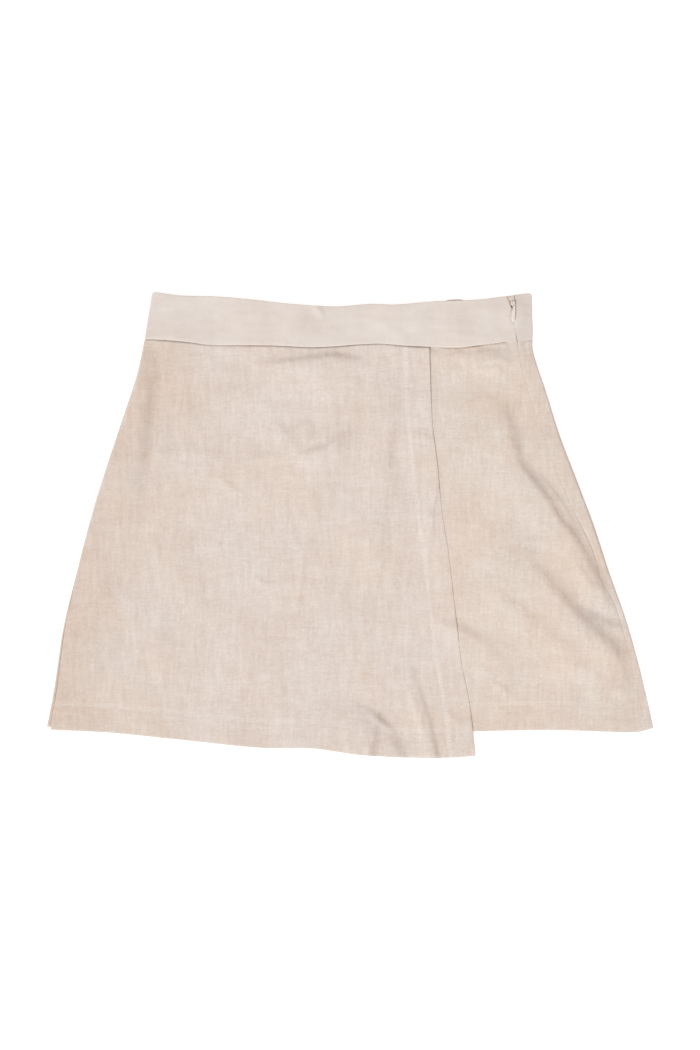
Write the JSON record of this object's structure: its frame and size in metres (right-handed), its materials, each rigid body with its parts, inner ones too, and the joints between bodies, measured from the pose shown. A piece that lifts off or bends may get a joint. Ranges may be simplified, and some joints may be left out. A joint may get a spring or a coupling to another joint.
{
  "type": "skort",
  "caption": "Wrap-front linen skort laid flat on its back, with a plain two-piece waistband and an invisible side zip whose pull tab turns.",
  "frame": {"origin": "on the surface that the skort lies on, under the middle of its outline", "axes": "+X towards the wearer's left, +Y from the hem up to the waist, +Z out of the surface, from the garment's back to its front"},
  "size_m": [0.5545, 0.4254, 0.0086],
  "materials": {
    "linen": "ecru linen, plain weave with slubs, matte, lightly pressed",
    "band_linen": "the same linen, interfaced, smoother and a little paler",
    "zip_tape": "ecru woven zip tape",
    "zip_enamel": "ivory enamel on die-cast zinc, semi-gloss"
  },
  "bodies": {
    "garment": {"back_left_leg": "linen", "back_right_leg": "linen", "front_left_leg": "linen", "front_right_leg": "linen", "wrap_panel": "linen", "waistband_back": "band_linen", "waistband_front": "band_linen", "zip_tape": "zip_tape", "zip_slider": "zip_enamel"},
    "pull_tab": {"zip_pull": "zip_enamel"}
  },
  "joints": [
    {"name": "pull_turn", "type": "hinge", "parent": "garment", "child": "pull_tab", "pos_m": [0.1499, 0.2024, 0.0065], "axis": [-0.9954, 0.0958, 0], "range_deg": [0, 170]}
  ]
}
